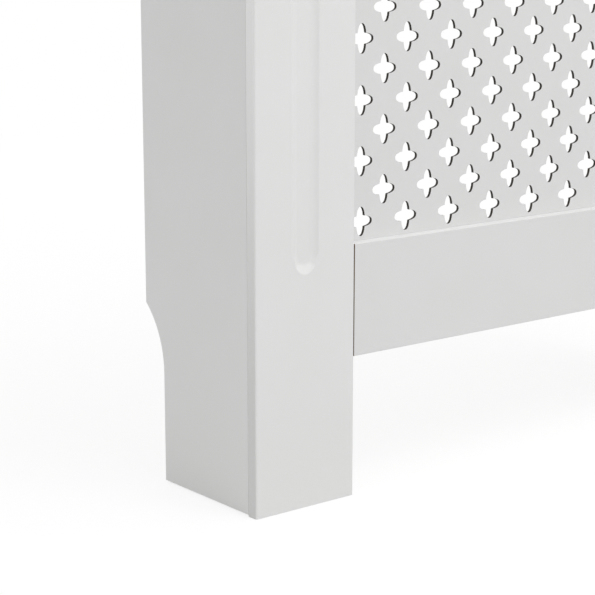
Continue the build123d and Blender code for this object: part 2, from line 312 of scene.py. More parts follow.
def modify(obj: bpy.types.Object, kind: str, **settings: object) -> None:
    """Adds a modifier with its settings and applies it.

    Args:
        obj: the object to modify.
        kind: the modifier's type as Blender names it.
        **settings: its properties and their values.
    """
    to_bench(obj)
    modifier = obj.modifiers.new(kind.title(), kind)
    for key, value in settings.items():
        setattr(modifier, key, value)
    bpy.ops.object.modifier_apply(modifier=modifier.name)


def cut(obj: bpy.types.Object, *tools: bpy.types.Object) -> None:
    """Takes each tool's shape out of an object and removes the tool.

    Args:
        obj: the object that is cut.
        *tools: closed shapes that stand for the cutters.
    """
    for tool in tools:
        modify(obj, "BOOLEAN", operation="DIFFERENCE", solver="EXACT", object=tool)
        bpy.data.objects.remove(tool, do_unlink=True)
        outwards(obj)


def duplicate(obj: bpy.types.Object, name: str) -> bpy.types.Object:
    """A copy of an object with a mesh of its own."""
    to_bench(obj)
    bpy.ops.object.duplicate(linked=False)
    copy = bpy.context.object
    copy.name = copy.data.name = name
    return copy


def joined(name: str, objs: Sequence[bpy.types.Object]) -> bpy.types.Object:
    """Several objects made into one.

    Args:
        name: the new object's name.
        objs: the objects, which all end up in the first.

    Returns:
        The one object.
    """
    to_bench(objs[0])
    for obj in objs:
        obj.select_set(True)
    bpy.ops.object.join()
    return settle(name)


def mirrored(obj: bpy.types.Object) -> bpy.types.Object:
    """Mirrors an object through the cabinet's middle plane, faces outwards again."""
    edit_all(obj)
    bpy.ops.transform.mirror(constraint_axis=(True, False, False), center_override=(0, 0, 0))
    outwards(obj)
    return obj


def turned(name: str, profile: Sequence[tuple[float, float]], steps: int) -> bpy.types.Object:
    """A shape turned round the Z axis.

    Args:
        name: the new object's name.
        profile: radius and height of each point, from the axis back to the axis.
        steps: number of sides.

    Returns:
        The closed shape at the origin.
    """
    shape = drawn(name, [mm(r, 0, z) for r, z in profile], closed=False)
    edit_all(shape)
    bpy.ops.mesh.spin(steps=steps, angle=2 * math.pi, center=(0, 0, 0), axis=(0, 0, 1))
    outwards(shape)
    return shape


def frame_at(place: Vector, direction: tuple[float, float, float]) -> Matrix:
    """A frame at a place with its +Z along a direction."""
    turn = Vector(direction).to_track_quat("Z", "Y").to_matrix().to_4x4()
    return Matrix.Translation(place) @ turn


def axes_at(place: Vector, x_axis: tuple[float, float, float], z_axis: tuple[float, float, float]
            ) -> Matrix:
    """A frame at a place from its X and Z axes."""
    x, z = Vector(x_axis), Vector(z_axis)
    return Matrix.Translation(place) @ Matrix((x, z.cross(x), z)).transposed().to_4x4()


def placed(master: bpy.types.Object, name: str, frame: Matrix) -> bpy.types.Object:
    """A copy of a master put into a frame, its place then moved into its mesh.

    Args:
        master: the object that is copied.
        name: the copy's name.
        frame: where it goes; a mirrored frame gives a mirrored copy.

    Returns:
        The copy.
    """
    copy = duplicate(master, name)
    copy.matrix_world = frame
    bpy.ops.object.transform_apply(location=True, rotation=True, scale=True)
    if frame.determinant() < 0:
        outwards(copy)
    return copy


def spread(master: bpy.types.Object, name: str, frames: Sequence[Matrix]) -> bpy.types.Object:
    """Copies of a master in every frame, made into one object.

    Args:
        master: the object that is copied.
        name: the new object's name.
        frames: where the copies go.

    Returns:
        The one object.
    """
    return joined(name, [placed(master, "copy", frame) for frame in frames])


def smooth(obj: bpy.types.Object, degrees: float = 30.0) -> None:
    """Merges doubles, shades curves smooth and keeps flat faces flat up to their rounded edges.

    Args:
        obj: the object to shade.
        degrees: edges with a sharper turn than this stay crisp.
    """
    outwards(obj)
    bpy.ops.object.shade_smooth_by_angle(angle=math.radians(degrees))
    modify(obj, "WEIGHTED_NORMAL", keep_sharp=True, weight=100)


def arc(centre: tuple[float, float], radius: float, start: float, end: float, steps: int
        ) -> list[tuple[float, float]]:
    """Points along an arc, both ends included.

    Args:
        centre: the arc's centre, in any flat plane.
        radius: its radius in millimetres.
        start: angle of the first point, in degrees.
        end: angle of the last point, in degrees.
        steps: number of chords.

    Returns:
        The points in order.
    """
    angles = [math.radians(start + (end - start) * step / steps) for step in range(steps + 1)]
    return [(centre[0] + radius * math.cos(a), centre[1] + radius * math.sin(a)) for a in angles]


# ---- Finishes ----
def linear(code: str) -> tuple[float, float, float, float]:
    """Turns an sRGB hex colour into linear light.

    Args:
        code: six hex digits.

    Returns:
        Red, green, blue and an alpha of one.
    """
    shares = [int(code[i:i + 2], 16) / 255 for i in (0, 2, 4)]
    light = [s / 12.92 if s <= 0.04045 else ((s + 0.055) / 1.055) ** 2.4 for s in shares]
    return (*light, 1.0)


def add_node(tree: bpy.types.NodeTree, kind: str, inputs: dict, **settings: object
             ) -> bpy.types.Node:
    """Adds one node with its settings, values and links.

    Args:
        tree: the node tree it goes into.
        kind: the node's type as Blender names it.
        inputs: value or output socket for each input, by its name or number.
        **settings: the node's own properties.

    Returns:
        The new node.
    """
    node = tree.nodes.new(kind)
    for key, value in settings.items():
        setattr(node, key, value)
    for key, value in inputs.items():
        if isinstance(value, bpy.types.NodeSocket):
            tree.links.new(value, node.inputs[key])
        else:
            node.inputs[key].default_value = value
    return node


def per_metre(size: float) -> float:
    """Texture scale at which one cell is a size in millimetres."""
    return 1 / (size * MM)


Socket = bpy.types.NodeSocket


class Recipe:
    """A material while it is built, on the Object coordinates of the piece that it covers."""

    def __init__(self, name: str) -> None:
        """Starts an empty material.

        Args:
            name: the material's name.
        """
        self.material = bpy.data.materials.new(name)
        self.material.use_nodes = True
        self.tree = self.material.node_tree
        self.tree.nodes.clear()
        self.output = self.tree.nodes.new("ShaderNodeOutputMaterial")
        self.place = add_node(self.tree, "ShaderNodeTexCoord", {}).outputs["Object"]

    def stretched(self, scale: tuple[float, float, float],
                  turn: tuple[float, float, float] = (0.0, 0.0, 0.0)) -> Socket:
        """The piece's coordinates, turned and then stretched along each axis."""
        return add_node(self.tree, "ShaderNodeMapping", {
            "Vector": self.place, "Rotation": turn, "Scale": scale}).outputs["Vector"]

    def noise(self, size: float, detail: float, place: Socket | None = None,
              distortion: float = 0.0) -> Socket:
        """Cloudy noise, from 0 to 1.

        Args:
            size: width of its cells in millimetres.
            detail: how many finer layers it has.
            place: coordinates to use in place of the piece's own.
            distortion: how far its cells are pulled about.

        Returns:
            The socket that gives it.
        """
        return add_node(self.tree, "ShaderNodeTexNoise", {
            "Vector": place or self.place, "Scale": per_metre(size), "Detail": detail,
            "Distortion": distortion}).outputs["Fac"]

    def waves(self, size: float, direction: str, place: Socket | None = None,
              **shape: float) -> Socket:
        """Parallel bands, from 0 to 1.

        Args:
            size: half their distance along an axis, or a quarter of it if they are diagonal.
            direction: the axis across them as Blender names it, or DIAGONAL.
            place: coordinates to use in place of the piece's own.
            **shape: the texture's other inputs, with _ for a space in their names.

        Returns:
            The socket that gives them.
        """
        inputs = {"Vector": place or self.place, "Scale": per_metre(WAVE * size)}
        inputs.update({key.replace("_", " "): value for key, value in shape.items()})
        return add_node(self.tree, "ShaderNodeTexWave", inputs, wave_type="BANDS",
                        bands_direction=direction).outputs["Fac"]

    def blend(self, share: Socket, first: str | Socket, second: str | Socket) -> Socket:
        """One colour turning into another, each a hex colour or a socket."""
        ends = [linear(end) if isinstance(end, str) else end for end in (first, second)]
        return add_node(self.tree, "ShaderNodeMix", {0: share, 6: ends[0], 7: ends[1]},
                        data_type="RGBA").outputs[2]

    def between(self, value: Socket, low: float, high: float,
                since: tuple[float, float] = (0.0, 1.0), how: str = "LINEAR") -> Socket:
        """A value moved to another range.

        Args:
            value: what is moved.
            low: the result at the first end of the old range.
            high: the result at its second end.
            since: the two ends of the old range.
            how: the interpolation as Blender names it.

        Returns:
            The socket that gives the result.
        """
        return add_node(self.tree, "ShaderNodeMapRange", {
            "Value": value, "From Min": since[0], "From Max": since[1], "To Min": low,
            "To Max": high}, interpolation_type=how).outputs["Result"]

    def count(self, operation: str, first: Socket, second: Socket | float) -> Socket:
        """Two values taken together by a Math operation."""
        return add_node(self.tree, "ShaderNodeMath", {0: first, 1: second},
                        operation=operation).outputs["Value"]

    def bump(self, height: Socket, relief: tuple[float, float]) -> Socket:
        """Relief from a height: its strength, and its depth in millimetres."""
        return add_node(self.tree, "ShaderNodeBump", {
            "Height": height, "Strength": relief[0], "Distance": relief[1] * MM}
            ).outputs["Normal"]

    def surface(self, shader: Socket) -> bpy.types.Material:
        """Puts a shader on the surface and gives the finished material."""
        self.tree.links.new(shader, self.output.inputs["Surface"])
        return self.material

    def coat(self, colour: Socket, roughness: Socket, normal: Socket,
             **others: float) -> bpy.types.Material:
        """Puts a Principled shader on the surface and gives the finished material.

        Args:
            colour: its base colour.
            roughness: its roughness.
            normal: its relief.
            **others: its other inputs, with _ for a space in their names.

        Returns:
            The material.
        """
        inputs = {"Base Color": colour, "Roughness": roughness, "Normal": normal}
        inputs.update({key.replace("_", " "): value for key, value in others.items()})
        shader = add_node(self.tree, "ShaderNodeBsdfPrincipled", inputs)
        return self.surface(shader.outputs["BSDF"])


@dataclass(frozen=True)
class SatinPaint:
    """Satin paint sprayed on fibreboard.

    The coat is even and milky, with a faint orange peel that breaks up its soft sheen. It is a
    little thinner on the arrises, where it dulls. It carries faint cloudy changes of tone, and
    towards the foot its colour turns to a painted shade, standing in for the floor's shade.
    """

    name: str = "satin_paint_sprayed_on_fibreboard"
    colour: str = "E9E9E9"
    cloud_colour: str = "E5E5E4"
    foot_shade_colour: str = "E6E6E5"
    arris_colour: str = "DCDBD8"
    cloud: float = 70.0
    foot: tuple[float, float] = (20.0, 140.0)  # heights over which the painted shade at the foot fades
    peel: float = 3.0  # real orange peel is near 1 mm, drawn coarser so that it shows
    peel_height: float = 0.012
    peel_strength: float = 0.5
    arris: float = 0.9
    arris_turn: tuple[float, float] = (0.98, 0.75)  # cosines between which an arris wears
    arris_wear: float = 0.6
    arris_rays: int = 4
    roughness: tuple[float, float] = (0.40, 0.50)
    ior: float = 1.48

    def material(self) -> bpy.types.Material:
        """Builds the node material."""
        paint = Recipe(self.name)
        clouds = paint.noise(self.cloud, detail=3.0)
        toned = paint.blend(clouds, self.colour, self.cloud_colour)
        height = add_node(paint.tree, "ShaderNodeSeparateXYZ", {"Vector": paint.place})
        # Painted shade: below these heights the colour turns to the foot's darker shade colour
        foot = (self.foot[0] * MM, self.foot[1] * MM)
        foot_shade_share = paint.between(height.outputs["Z"], 0.0, 1.0, foot, "SMOOTHSTEP")
        with_foot_shade = paint.blend(foot_shade_share, self.foot_shade_colour, toned)
        rounded = add_node(paint.tree, "ShaderNodeBevel", {"Radius": self.arris * MM},
                           samples=self.arris_rays)
        true = add_node(paint.tree, "ShaderNodeNewGeometry", {})
        turn = add_node(paint.tree, "ShaderNodeVectorMath", {
            0: rounded.outputs["Normal"], 1: true.outputs["Normal"]}, operation="DOT_PRODUCT")
        worn = paint.between(turn.outputs["Value"], 0.0, self.arris_wear, self.arris_turn)
        colour = paint.blend(worn, with_foot_shade, self.arris_colour)
        peel = paint.noise(self.peel, detail=1.5)
        return paint.coat(colour, paint.between(clouds, *self.roughness),
                          paint.bump(peel, (self.peel_strength, self.peel_height)), IOR=self.ior)


@dataclass(frozen=True)
class SawnFibreboard:
    """Raw sawn end of a fibreboard, hidden in a joint.

    Even dull brown with pale fibres, without any sheen, so a joint reads as a dark line.
    """

    name: str = "fibreboard_end_sawn_raw"
    ground: str = "7A6347"
    fibre_colour: str = "9B8463"
    fibre: float = 0.7
    layer: float = 4.0
    relief: tuple[float, float] = (0.7, 0.08)
    roughness: tuple[float, float] = (0.85, 0.97)

    def material(self) -> bpy.types.Material:
        """Builds the node material."""
        board = Recipe(self.name)
        fibres = board.noise(self.fibre, detail=2.0)
        layers = board.noise(self.layer, detail=1.0)
        tone = board.blend(board.count("MULTIPLY", fibres, layers), self.ground,
                           self.fibre_colour)
        return board.coat(tone, board.between(layers, *self.roughness),
                          board.bump(fibres, self.relief))


@dataclass(frozen=True)
class ScorchedCut:
    """Raw edge of thin hardboard where the holes were cut hot.

    It is nearly black with a brown cast and dry, with finer and lighter layers along the sheet.
    """

    name: str = "hardboard_edge_scorched_by_cutting"
    dark: str = "2A2826"
    light: str = "4A443E"
    layer: float = 0.6
    fibre: float = 4.0
    relief: tuple[float, float] = (0.6, 0.05)
    roughness: tuple[float, float] = (0.75, 0.95)

    def material(self) -> bpy.types.Material:
        """Builds the node material."""
        board = Recipe(self.name)
        along = self.layer / self.fibre
        fibres = board.noise(self.layer, detail=3.0, place=board.stretched((along, 1.0, along)))
        return board.coat(board.blend(fibres, self.dark, self.light),
                          board.between(fibres, *self.roughness),
                          board.bump(fibres, self.relief))


@dataclass(frozen=True)
class PlanedPine:
    """Planed softwood, left bare.

    Pale honey wood with darker late-wood lines along its length and a dry, slightly rippled face.
    """

    name: str = "pine_planed_bare"
    early: str = "E3CBA0"
    late: str = "C59C66"
    ring: float = 3.5  # a quarter of the late wood's distance along an axis
    wander: float = 28.0  # size of the patches in which they are stronger
    sharpness: float = 2.2  # makes the late wood narrower than the early wood
    stretch: float = 14.0
    ripple: float = 5.0  # half the distance of the planer's marks, coarser than real ones to show
    relief: tuple[float, float] = (0.4, 0.05)
    roughness: tuple[float, float] = (0.62, 0.5)

    def material(self) -> bpy.types.Material:
        """Builds the node material."""
        wood = Recipe(self.name)
        along = wood.stretched((1.0, 1.0, 1 / self.stretch))
        wander = wood.noise(self.wander, detail=2.0, place=along)
        rings = wood.waves(self.ring, "DIAGONAL", along, Distortion=9.0, Detail=3.0,
                           Detail_Scale=1.2)
        lines = wood.count("POWER", rings, self.sharpness)
        tone = wood.blend(wood.count("MULTIPLY", lines, wander), self.early, self.late)
        marks = wood.waves(self.ripple, "Z", Distortion=0.4)
        return wood.coat(tone, wood.between(rings, *self.roughness),
                         wood.bump(wood.count("ADD", marks, rings), self.relief))


@dataclass(frozen=True)
class TurnedBeech:
    """Beech turned into rod, left bare.

    Pinkish tan and even, with short dark flecks along the rod.
    """

    name: str = "beech_turned_bare"
    ground: str = "D9B48A"
    fleck: str = "A97F55"
    fleck_width: float = 0.5
    fleck_length: float = 3.0
    fleck_edge: tuple[float, float] = (0.55, 0.75)  # of the noise, so that only its peaks show
    relief: tuple[float, float] = (0.3, 0.04)
    roughness: tuple[float, float] = (0.5, 0.65)

    def material(self) -> bpy.types.Material:
        """Builds the node material."""
        wood = Recipe(self.name)
        along = wood.stretched((self.fleck_width / self.fleck_length, 1.0, 1.0))
        flecks = wood.noise(self.fleck_width, detail=2.0, place=along)
        few = wood.between(flecks, 0.0, 1.0, self.fleck_edge)
        return wood.coat(wood.blend(few, self.ground, self.fleck),
                         wood.between(flecks, *self.roughness), wood.bump(flecks, self.relief))


@dataclass(frozen=True)
class ZincPlate:
    """Steel with a bright zinc plating.

    A cool grey metal with blurred reflections, faint cloudy stains and fine scratches.
    """

    name: str = "steel_zinc_plated"
    bright: str = "C6C9CC"
    stained: str = "A9ACAE"
    stain: float = 6.0
    scratch: float = 0.4  # real ones are finer, drawn coarser so that they show
    scratch_run: tuple[float, float, float] = (1.0, 0.08, 0.3)
    scratch_turn: tuple[float, float, float] = (0.3, 0.5, 0.2)
    relief: tuple[float, float] = (0.25, 0.02)
    roughness: tuple[float, float] = (0.28, 0.48)

    def material(self) -> bpy.types.Material:
        """Builds the node material."""
        zinc = Recipe(self.name)
        stains = zinc.noise(self.stain, detail=4.0)
        across = zinc.stretched(self.scratch_run, self.scratch_turn)
        scratches = zinc.noise(self.scratch, detail=1.0, place=across)
        return zinc.coat(zinc.blend(stains, self.bright, self.stained),
                         zinc.between(stains, *self.roughness),
                         zinc.bump(scratches, self.relief), Metallic=1.0)


@dataclass(frozen=True)
class MouldedNylon:
    """Nylon moulded in a spark-eroded tool.

    Milky off-white with a fine matt grain and a slightly waxy sheen.
    """

    name: str = "nylon_moulded"
    body: str = "E4E2DA"
    flow: str = "DBD8CE"
    grain: float = 0.8
    swirl: float = 9.0
    swirl_pull: float = 0.6
    depth: float = 1.5  # how far light gets into it
    depth_share: float = 0.08
    relief: tuple[float, float] = (0.5, 0.03)
    roughness: tuple[float, float] = (0.38, 0.52)
    ior: float = 1.53

    def material(self) -> bpy.types.Material:
        """Builds the node material."""
        nylon = Recipe(self.name)
        swirls = nylon.noise(self.swirl, detail=1.0, distortion=self.swirl_pull)
        grain = nylon.noise(self.grain, detail=1.0)
        return nylon.coat(nylon.blend(swirls, self.body, self.flow),
                          nylon.between(swirls, *self.roughness),
                          nylon.bump(grain, self.relief), IOR=self.ior,
                          Subsurface_Weight=self.depth_share, Subsurface_Scale=self.depth * MM)


@dataclass(frozen=True)
class Finishes:
    """The cabinet's finishes, each made once and shared by the pieces."""

    board: bpy.types.Material = field(default_factory=SatinPaint().material)
    # Posts' outer cut edges: near-white paint as a painted highlight, with a painted shade at the
    # foot that fades out by 520 mm
    cut_edge_light_and_shade: bpy.types.Material = field(default_factory=SatinPaint(
        name="satin_paint_sunk_in_cut_edge", colour="F9F9F9", cloud_colour="F6F6F5",
        foot_shade_colour="DADAD9", foot=(60.0, 520.0)).material)
    rail: bpy.types.Material = field(default_factory=SatinPaint(
        name="satin_paint_sprayed_on_rails", colour="E2E2E2", cloud_colour="DEDEDD").material)
    sheet: bpy.types.Material = field(default_factory=SatinPaint(
        name="paint_rolled_on_thin_hardboard", colour="E0E0E0", cloud_colour="DDDDDC",
        peel=2.0, peel_height=0.008).material)
    sawn: bpy.types.Material = field(default_factory=SawnFibreboard().material)
    scorched: bpy.types.Material = field(default_factory=ScorchedCut().material)
    pine: bpy.types.Material = field(default_factory=PlanedPine().material)
    beech: bpy.types.Material = field(default_factory=TurnedBeech().material)
    zinc: bpy.types.Material = field(default_factory=ZincPlate().material)
    nylon: bpy.types.Material = field(default_factory=MouldedNylon().material)


# ---- Putting a finished piece on the cabinet ----
def fit(piece: bpy.types.Object, node: str, slot: str, *materials: bpy.types.Material) -> None:
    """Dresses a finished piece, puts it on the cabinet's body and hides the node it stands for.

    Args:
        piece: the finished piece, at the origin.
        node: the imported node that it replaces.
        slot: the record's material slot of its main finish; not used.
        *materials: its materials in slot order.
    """
    if not piece.data.materials:
        give(piece, *materials)
    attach(piece, BODY)
    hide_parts(node)
    log.info("%s stands for %s: %d faces", piece.name, node, len(piece.data.polygons))


@dataclass
class FrontFrame:
    """The fluted posts and the rails between them, 12 mm boards joined by dowels."""

    corner_radius: float = 2.0
    arris: float = 0.6
    flute_width: float = 31.0
    flute_depth: float = 3.0
    flute_cove: float = 9.5
    flute_drop: float = 21.5
    stop_length: float = 11.2
    stop_floor: float = 0.7
    stop_bend: float = 4.0
    stop_pinch: float = 0.2
    stop_taper: float = 7.5  # the run over which the flute draws in before its stop
    stop_share: float = 0.76  # the width it has left there
    proud: float = 4.0  # how far the flute's cutter stands out of the face
    rim: float = 0.7
    rim_slack: float = 0.1  # how far past the flute the edges of its rim may lie
    turn_slack: float = 0.01  # radians within which a point of a stop lies at an angle
    joint_opening: float = 0.25  # how much wider each joint of a rail is at the rail's top
    joint_groove: float = 0.45  # the groove along the joint of a post and its side panel
    curve_steps: int = 8
    stop_steps: int = 28

    def stop_reach(self, radius: float) -> float:
        """Where a point of the flute's section comes to lie along the run at its stop.

        The floor ends in a short curve and an even slope runs from there to the rim.

        Args:
            radius: the point's distance from the flute's middle line.

        Returns:
            Its distance from the stop's centre, straight down from there.
        """
        floor = self.flute_width / 2 - self.flute_cove
        if radius <= floor:
            return radius * self.stop_floor / floor
        curve = (self.flute_cove ** 2 + self.flute_depth ** 2) / (2 * self.flute_depth)
        rise = curve - math.sqrt(curve ** 2 - (radius - floor) ** 2)
        slope = self.flute_depth / (self.stop_length - self.stop_floor - self.stop_bend / 2)
        if rise < slope * self.stop_bend / 2:
            return self.stop_floor + math.sqrt(2 * self.stop_bend * rise / slope)
        return self.stop_floor + self.stop_bend / 2 + rise / slope

    def flute_tool(self, centre: float, face: float, low: float, high: float
                   ) -> bpy.types.Object:
        """The cutter of one flute: a coved section pulled up between two turned stops.

        Args:
            centre: the flute's middle line along X.
            face: the post's front face along Y.
            low: height of the lower stop's centre.
            high: height of the upper stop's centre.

        Returns:
            The cutter, closed and standing proud of the face.
        """
        half, floor = self.flute_width / 2, self.flute_width / 2 - self.flute_cove
        radius = (self.flute_cove ** 2 + self.flute_depth ** 2) / (2 * self.flute_depth)
        turn = math.degrees(math.asin(self.flute_cove / radius))
        cove = arc((floor, self.flute_depth - radius), radius, 90, 90 - turn, self.curve_steps)
        section = [(0.0, self.flute_depth), *cove, (half, -self.proud), (0.0, -self.proud)]
        tool = drawn("flute_tool", [mm(centre + x, face + y, low) for x, y in section],
                     closed=False)
        edit_all(tool)
        middle = mm(centre, face, low)
        bpy.ops.mesh.spin(steps=self.stop_steps, angle=math.pi, center=middle, axis=(0, -1, 0))
        angles = [math.pi * step / self.stop_steps for step in range(1, self.stop_steps)]
        for angle in sorted(angles, key=lambda a: abs(a - math.pi / 2)):
            pick(tool, Pick.VERTS, lambda v: abs(math.atan2(
                middle.z - v.co.z, v.co.x - middle.x) - angle) < self.turn_slack)
            bpy.ops.transform.resize(
                value=(1 - self.stop_pinch * math.sin(angle) ** 2, 1, 1), center_override=middle)
        for reach, depth in section[1:-1]:
            pick(tool, Pick.VERTS, lambda v: near(v.co.y, face + depth, within=0.005))
            bpy.ops.transform.resize(value=(1, 1, self.stop_reach(reach) / reach),
                                     center_override=middle)
        bpy.ops.mesh.select_all(action="SELECT")
        bpy.ops.transform.resize(value=(self.stop_share, 1, 1), center_override=middle)
        pick(tool, Pick.EDGES, lambda e: lies(e, z=low) and not lies(e, x=centre))
        for rise, widening in ((self.stop_taper, 1 / self.stop_share),
                               ((high - low) / 2 - self.stop_taper, 1)):
            bpy.ops.mesh.extrude_region_move(TRANSFORM_OT_translate={"value": mm(0, 0, rise)})
            bpy.ops.transform.resize(value=(widening, 1, 1), center_override=middle)
        outwards(tool)
        halfway = bpy.data.objects.new("flute_middle", None)
        halfway.location = mm(0, 0, (low + high) / 2)
        modify(tool, "MIRROR", use_axis=(False, False, True), mirror_object=halfway,
               merge_threshold=SAME)
        bpy.data.objects.remove(halfway)
        outwards(tool)
        return tool

    def post(self, side: Side, finishes: Finishes) -> bpy.types.Object:
        """One front post with its flute, its rounded outer corner and eased edges.

        Args:
            side: which end of the cabinet it stands at.
            finishes: gives those of its faces and of its outer cut edge, which carries painted
                light and shade.

        Returns:
            The finished mesh object.
        """
        low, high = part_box("right_post")
        board = block(f"{side.word}_fluted_post", low, high)
        front, outer, inner = low.y / MM, high.x / MM, low.x / MM
        opening_low, opening_high = box_mm("bottom_rail")[1].z, box_mm("top_rail")[0].z
        drop = self.flute_drop - self.stop_length
        stops = (opening_low - drop, opening_high + drop)
        bevel(board, lambda e: lies(e, y=front, x=outer), self.corner_radius, steps=6)
        bevel(board, lambda e: lies(e, y=front, x=inner), self.arris, steps=2)
        bevel(board, lambda e: lies(e, y=high.y / MM, x=outer), self.joint_groove, steps=1)
        cut(board, self.flute_tool((outer + inner) / 2, front, *stops))
        self.soften_rim(board, front, (outer + inner) / 2)
        bevel(board, lambda e: lies(e, z=0) and sharp(e), self.arris / 2, steps=2)
        give(board, finishes.board, finishes.cut_edge_light_and_shade)
        # The outer side face gets the cut edge's painted highlight and painted shade
        coat_faces(board, 1, lambda f: f.normal.x > FACING)
        if side is Side.LEFT:
            mirrored(board)
        smooth(board)
        return board

    def soften_rim(self, board: bpy.types.Object, front: float, centre: float) -> None:
        """Rounds the flute's rim as the paint does."""
        reach = self.flute_width / 2 + self.rim_slack
        bevel(board, lambda e: lies(e, y=front) and sharp(e, turn=0.1) and all(
            abs(v.co.x / MM - centre) < reach for v in e.verts), self.rim, steps=3)

    def rail(self, node: str, name: str, finishes: Finishes) -> bpy.types.Object:
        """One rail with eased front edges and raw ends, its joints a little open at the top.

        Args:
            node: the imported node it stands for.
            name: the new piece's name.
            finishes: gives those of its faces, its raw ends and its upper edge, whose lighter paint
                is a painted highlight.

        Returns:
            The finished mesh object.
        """
        low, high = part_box(node)
        board = block(name, low, high)
        edit(board)
        pick(board, Pick.EDGES, lambda e: lies(e, z=high.z / MM))
        length = (high.x - low.x) / MM
        bpy.ops.transform.resize(value=((length - 2 * self.joint_opening) / length, 1, 1),
                                 center_override=(0, 0, high.z))
        bpy.ops.object.mode_set(mode="OBJECT")
        bevel(board, lambda e: lies(e, y=low.y / MM) and span(e, "x") > self.arris * MM,
              self.arris, steps=3)
        bevel(board, lambda e: lies(e, y=high.y / MM), self.arris / 2, steps=1)
        give(board, finishes.rail, finishes.sawn, finishes.board)
        coat_faces(board, 1, lambda f: abs(f.normal.x) > FACING)
        # Painted highlight: the upward faces get the posts' lighter paint
        coat_faces(board, 2, lambda f: f.normal.z > FACING)
        smooth(board)
        return board

    def build(self, finishes: Finishes) -> None:
        """Makes and fits the posts and rails."""
        for side in Side:
            fit(self.post(side, finishes), f"{side.word}_post", "painted_board")
        for node, name in (("bottom_rail", "lower_frame_rail"), ("top_rail", "upper_frame_rail")):
            fit(self.rail(node, name, finishes), node, "painted_board")


@dataclass
class SidePanels:
    """The two side panels, notched at the rear foot for the skirting board."""

    notch_depth: float = 29.0
    notch_straight: float = 109.0
    notch_height: float = 174.0
    arris: float = 0.5
    arc_steps: int = 28

    def panel(self, side: Side) -> bpy.types.Object:
        """One panel: its outline drawn, filled and pulled to the board's thickness.

        Args:
            side: which end of the cabinet it stands at.

        Returns:
            The finished mesh object.
        """
        low, high = box_mm("right_side_panel")
        line = high.y - self.notch_depth
        rise = self.notch_height - self.notch_straight
        radius = (self.notch_depth ** 2 + rise ** 2) / (2 * self.notch_depth)
        turn = math.degrees(math.asin(rise / radius))
        notch = arc((line + radius, self.notch_straight), radius, 180, 180 - turn, self.arc_steps)
        outline = [(low.y, low.z), (line, low.z), *notch, (high.y, high.z), (low.y, high.z)]
        board = drawn(f"{side.word}_notched_panel", [mm(low.x, y, z) for y, z in outline])
        pulled(board, mm(high.x - low.x, 0, 0))
        bevel(board, lambda e: square_to(e, "x") and not lies(e, z=high.z), self.arris, steps=2)
        if side is Side.LEFT:
            mirrored(board)
        smooth(board)
        return board

    def build(self, finishes: Finishes) -> None:
        """Makes and fits both panels."""
        for side in Side:
            fit(self.panel(side), f"{side.word}_side_panel", "painted_board", finishes.board)


@dataclass
class TopBoard:
    """The shelf on top, moulded along its front and ends and square along the wall."""

    cove_radius: float = 5.0
    round_radius: float = 8.0
    step: float = 2.0
    steps: int = 8
    spare: float = 12.0

    def moulding(self, edge: float, bottom: float, top: float) -> list[tuple[float, float]]:
        """The moulded edge from the underside to the top face.

        Args:
            edge: the board's edge, measured from its middle.
            bottom: height of the underside.
            top: height of the top face.

        Returns:
            Distance from the middle and height of each point.
        """
        shoulder = top - self.step
        inside = edge - self.round_radius
        return [
            *arc((edge, bottom), self.cove_radius, 180, 90, self.steps),
            *arc((inside, shoulder - self.round_radius), self.round_radius, 0, 90, self.steps),
            (inside - self.step, shoulder), (inside - self.step, top),
        ]

    def board(self) -> bpy.types.Object:
        """The board: a length with moulded ends, its front edge then cut to the same section."""
        low, high = box_mm("top_board")
        half = self.moulding(high.x, low.z, high.z)
        section = half + [(-x, z) for x, z in reversed(half)]
        board = drawn("moulded_top", [mm(x, high.y, z) for x, z in section])
        pulled(board, mm(0, low.y - high.y - self.spare / 2, 0))
        front = [(-reach, z) for reach, z in self.moulding(-low.y, low.z, high.z)]
        around = [
            (front[-1][0], high.z + self.spare), (low.y - self.spare, high.z + self.spare),
            (low.y - self.spare, low.z - self.spare), (front[0][0], low.z - self.spare),
        ]
        reach = high.x + self.spare
        tool = drawn("front_moulding_tool", [mm(-reach, y, z) for y, z in front + around])
        cut(board, pulled(tool, mm(2 * reach, 0, 0)))
        smooth(board)
        return board

    def build(self, finishes: Finishes) -> None:
        """Makes and fits the board."""
        fit(self.board(), "top_board", "painted_board", finishes.board)


